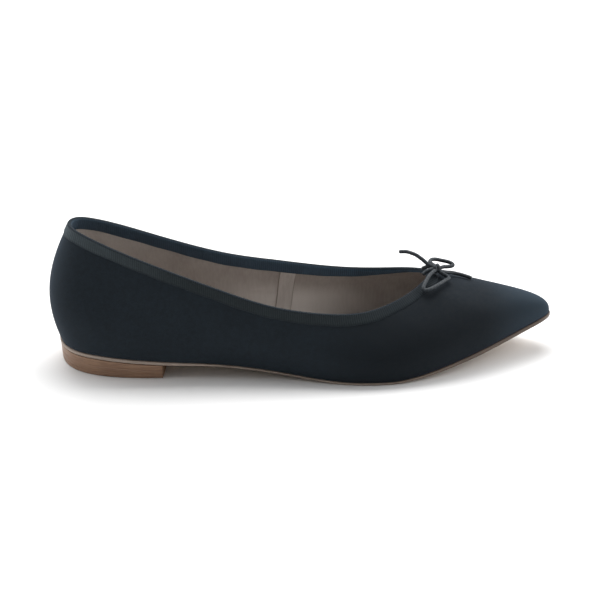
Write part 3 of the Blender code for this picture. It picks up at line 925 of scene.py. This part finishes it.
def makeBinding():
    spans = np.linspace(0.0, allSpans, allSpans * binding["perSpan"] + 1)
    rim, rimOut, rimUp = wallFace(spans, 1.0)
    run = runLength(rim)
    turn = run / run[-1] * 2.0 * math.pi
    uneven = binding["uneven"] * sum(np.sin(turn * count) * share for count, share in binding["waves"])
    fromHeel = np.minimum(spans, allSpans - spans)
    heelDrop = binding["heelInside"] * np.exp(-((fromHeel / binding["heelSpans"]) ** 2))

    def sideRows(side, base, depth):        # from the hem up to the fold
        rows = []
        for share in np.linspace(1.0, 0.0, binding["sideSteps"], endpoint=False):
            points, out = wallFace(spans, shareAtDepth(spans, (depth + uneven) * share))[:2]
            drawn = min(1.0, (1.0 - share) / binding["hemShare"])
            off = base + binding["hemOut"] * (1.0 - drawn) + binding["out"] * drawn
            rows.append(points + out * side * off)
        return rows

    outer = sideRows(1.0, 0.0, binding["depth"])
    inner = sideRows(-1.0, last["wall"], binding["inside"] + heelDrop)
    middle = rim - rimOut * last["wall"] / 2.0
    halfWidth = last["wall"] / 2.0 + binding["out"]
    fold = []
    for angle in np.linspace(0.0, math.pi, binding["foldSteps"] + 1):
        aside = rimOut * halfWidth * math.cos(angle)
        fold.append(middle + aside + rimUp * binding["foldRise"] * math.sin(angle))
    places = np.stack(outer + fold + inner[::-1])
    across = runLength(places[:, 0])
    bm = layGrid(places, run, across)
    first = binding["sideSteps"]
    finish = ribbonFinish(across[first], across[first + binding["foldSteps"]], run[-1] / 2.0)
    piece = finishPiece("toplineRibbon", bm, [finish], "black_ribbon", "topline_binding")
    thicken(piece, binding["thickness"])


# Sole: rings of a worked edge, from the upper face to the lower one, closed across from side to side
sole = {
    "across": 14,
    # inset from the outsole's edge, and height as a share of the way down plus metres
    "edge": (
        (0.00030, 0.0, 0.0),
        (0.00009, 0.0, -0.00009),
        (0.0, 0.0, -0.00030),
        (0.0, 0.5, 0.0),
        (0.0, 1.0, 0.00060),
        (0.00018, 1.0, 0.00018),
        (0.00060, 1.0, 0.0),
    ),
    # painted light at the heel and waist, where the upper's swell shades the edge, and painted shade towards
    # the toe, where the right lamp lights it
    "edgeDark": colour(0.225, 0.172, 0.138),
    "edgeLight": colour(0.410, 0.330, 0.275),
    "toeDark": colour(0.050, 0.033, 0.023),
    "toeLight": colour(0.098, 0.066, 0.047),
    "toe": (0.02, 0.09),            # the edge darkens between these places, in metres ahead of the origin
    "layers": (60.0, 60.0, 2600.0),
    "edgePatches": (70.0, 3.0),
    "edgeRoughness": (0.42, 0.6),
    "edgeRelief": (0.35, 0.0001),
    "underFaces": -0.8,             # faces that look down more than this are the underside
    "underDark": colour(0.330, 0.235, 0.160),
    "underLight": colour(0.470, 0.360, 0.265),
    "patches": (40.0, 4.0),
    "fibres": (1600.0, 3.0),
    "scuffs": (70.0, 900.0, 900.0),
    "scuffTones": (0.42, 0.7),
    "toneShares": (0.45, 0.3, 0.25),        # of patches, scuffs and fibres
    "underRoughness": (0.5, 0.68),
    "underRelief": (0.3, 0.0001),
}


# Lays a closed sheet over rings: across the upper one, down both edges, and across the lower one
def sheetGrid(rings, across):
    half = len(rings[0]) // 2
    outer = [ring[: half + 1] for ring in rings]
    inner = [ring[::-1][: half + 1] for ring in rings]
    shares = np.linspace(0.0, 1.0, across + 1)[1:-1]
    top = [inner[0] + (outer[0] - inner[0]) * share for share in shares]
    under = [outer[-1] + (inner[-1] - outer[-1]) * share for share in shares]
    rows = top + outer + under + inner[::-1]
    rows.append(rows[0])
    bm = layGrid(np.stack(rows))
    bmesh.ops.dissolve_degenerate(bm, dist=weld / 2.0, edges=bm.edges)
    bmesh.ops.recalc_face_normals(bm, faces=bm.faces)
    return bm


def soleEdgeFinish():
    material, wires, feed = startFinish("soleEdgeLeather")
    place = wires.node("TexCoord", out="Object")
    layers = place.stretched(sole["layers"]).noise(1.0)
    patches = place.noise(*sole["edgePatches"])
    tone = layers.spread() * 0.5 + patches.spread() * 0.5
    # painted light at the back and painted shade towards the toe
    back = tone.mix(sole["edgeDark"], sole["edgeLight"])
    front = tone.mix(sole["toeDark"], sole["toeLight"])
    feed(
        Base_Color=place.axis(0).ramp(*sole["toe"]).mix(back, front),
        Roughness=patches.spread(*sole["edgeRoughness"]),
        Normal=layers.bump(*sole["edgeRelief"]),
    )
    return material


def soleUnderFinish():
    material, wires, feed = startFinish("soleLeather")
    place = wires.node("TexCoord", out="Object")
    patches = place.noise(*sole["patches"])
    fibres = place.noise(*sole["fibres"])
    scuffs = place.stretched(sole["scuffs"]).noise(1.0)
    ofPatches, ofScuffs, ofFibres = sole["toneShares"]
    tone = patches.spread() * ofPatches + scuffs.ramp(*sole["scuffTones"]) * ofScuffs + fibres * ofFibres
    feed(
        Base_Color=tone.mix(sole["underDark"], sole["underLight"]),
        Roughness=scuffs.spread(*sole["underRoughness"]),
        Normal=(fibres + scuffs).bump(*sole["underRelief"]),
    )
    return material


def makeSole():
    rings = []
    for inset, share, rise in sole["edge"]:
        ring = footRing(ringSpans, last["margin"] - inset, soleTop)
        ring[:, 2] += (soleBottom(ring[:, 0]) - ring[:, 2]) * share + rise
        rings.append(ring)
    bm = sheetGrid(rings, sole["across"])
    for face in bm.faces:
        face.material_index = 1 if face.normal.z < sole["underFaces"] else 0
    finishPiece("outsoleLeather", bm, [soleEdgeFinish(), soleUnderFinish()], "sole_leather", "outsole")


# Sock: the bare leather bed inside, its edge let down against the lining
sock = {
    "thickness": 0.0018,
    "inset": 0.0017,
    "edge": 0.0004,
    "across": 14,
    # inset and height of its rings, as shares of the edge, and whether they are measured from its upper face
    "rings": ((1.0, 0.0, True), (0.3, -0.3, True), (0.0, -1.0, True), (1.0, 0.0, False)),
}


def makeSock():
    rings = []
    for inset, rise, upperFace in sock["rings"]:
        ring = footRing(ringSpans, -sock["inset"] - inset * sock["edge"], soleTop)
        ring[:, 2] += last["gap"] + rise * sock["edge"] + (sock["thickness"] if upperFace else 0.0)
        rings.append(ring)
    bm = sheetGrid(rings, sock["across"])
    finishPiece("sockLeather", bm, [liningFinish("sockLeather", "sock")], "sock_leather", "insole")


# Heel: a low stacked block under the seat, its breast a little proud between the corners
heel = {
    "breastSpan": 3,                # it ends at this section
    "perSpan": 12,
    "setBack": 0.0003,
    "taper": 0.0003,
    "bulge": 0.0012,
    "breastPoints": 25,
    "across": 14,
    "edge": 0.0006,
    "round": (0.35, 0.25),          # rise and inset midway round the lower edge, as shares of its size
    "sharpAngle": 40.0,
    "lifts": (0.30, 0.64),          # seams between its layers, as shares of its height
    "groove": 0.00010,
    "seam": 0.0002,                 # half width of a seam
    "seamDark": 0.3,
    "dark": colour(0.188, 0.099, 0.056),
    "light": colour(0.362, 0.219, 0.134),
    "fibres": (90.0, 90.0, 2400.0),
    "fibreNoise": (1.0, 4.0, 0.6),
    "fibreShare": 0.45,
    "patches": (60.0, 3.0),
    "patchShare": 0.4,
    "roughness": (0.4, 0.55),
    "relief": (0.3, 0.0001),
}


def heelOutline(shift):
    spans = np.linspace(0.0, heel["breastSpan"], heel["breastSpan"] * heel["perSpan"] + 1)
    outer = footRing(spans, shift, soleBottom)
    inner = footRing(allSpans - spans, shift, soleBottom)
    share = np.linspace(0.0, 1.0, heel["breastPoints"] + 2)[1:-1, None]
    breast = outer[-1] * (1.0 - share) + inner[-1] * share
    breast[:, :1] += heel["bulge"] * 4.0 * share * (1.0 - share)
    return np.concatenate([outer, breast, inner[::-1]])


def heelFinish():
    material, wires, feed = startFinish("stackedLeather")
    place = wires.node("TexCoord", out="Object")
    height = place.axis(2)
    fibres = place.stretched(heel["fibres"]).noise(*heel["fibreNoise"])
    patches = place.noise(*heel["patches"])
    tone = fibres.spread() * heel["fibreShare"] + patches.spread() * heel["patchShare"]
    for seam in heel["lifts"]:
        away = (height - seam * last["waistHeight"]).maths("ABSOLUTE")
        tone = tone - away.ramp(0.0, heel["seam"], heel["seamDark"], 0.0)
    feed(
        Base_Color=tone.mix(heel["dark"], heel["light"]),
        Roughness=patches.spread(*heel["roughness"]),
        Normal=fibres.bump(*heel["relief"]),
    )
    return material


def makeHeel():
    shape = [(1.0, 0.0, 0.0)]           # share of the height, metres above it, inset
    for lift in sorted(heel["lifts"], reverse=True):
        shape += [(lift, heel["seam"], 0.0), (lift, 0.0, heel["groove"]), (lift, -heel["seam"], 0.0)]
    edge = heel["edge"]
    rounded = [share * edge for share in heel["round"]]
    shape += [(0.0, edge, 0.0), (0.0, *rounded), (0.0, 0.0, edge)]
    rings = []
    for share, rise, inset in shape:
        ring = heelOutline(last["margin"] - heel["setBack"] - heel["taper"] * (1.0 - share) - inset)
        ring[:, 2] = (soleBottom(ring[:, 0]) - last["gap"]) * share + rise
        rings.append(ring)
    bm = sheetGrid(rings, heel["across"])
    piece = finishPiece("heelBlock", bm, [heelFinish()], "stacked_heel", "heel")
    piece.data.set_sharp_from_angle(angle=math.radians(heel["sharpAngle"]))


makeCamera()
makeStudio()
makeBow()
makeUpper()
makeLining()
makeBinding()
makeSole()
makeSock()
makeHeel()
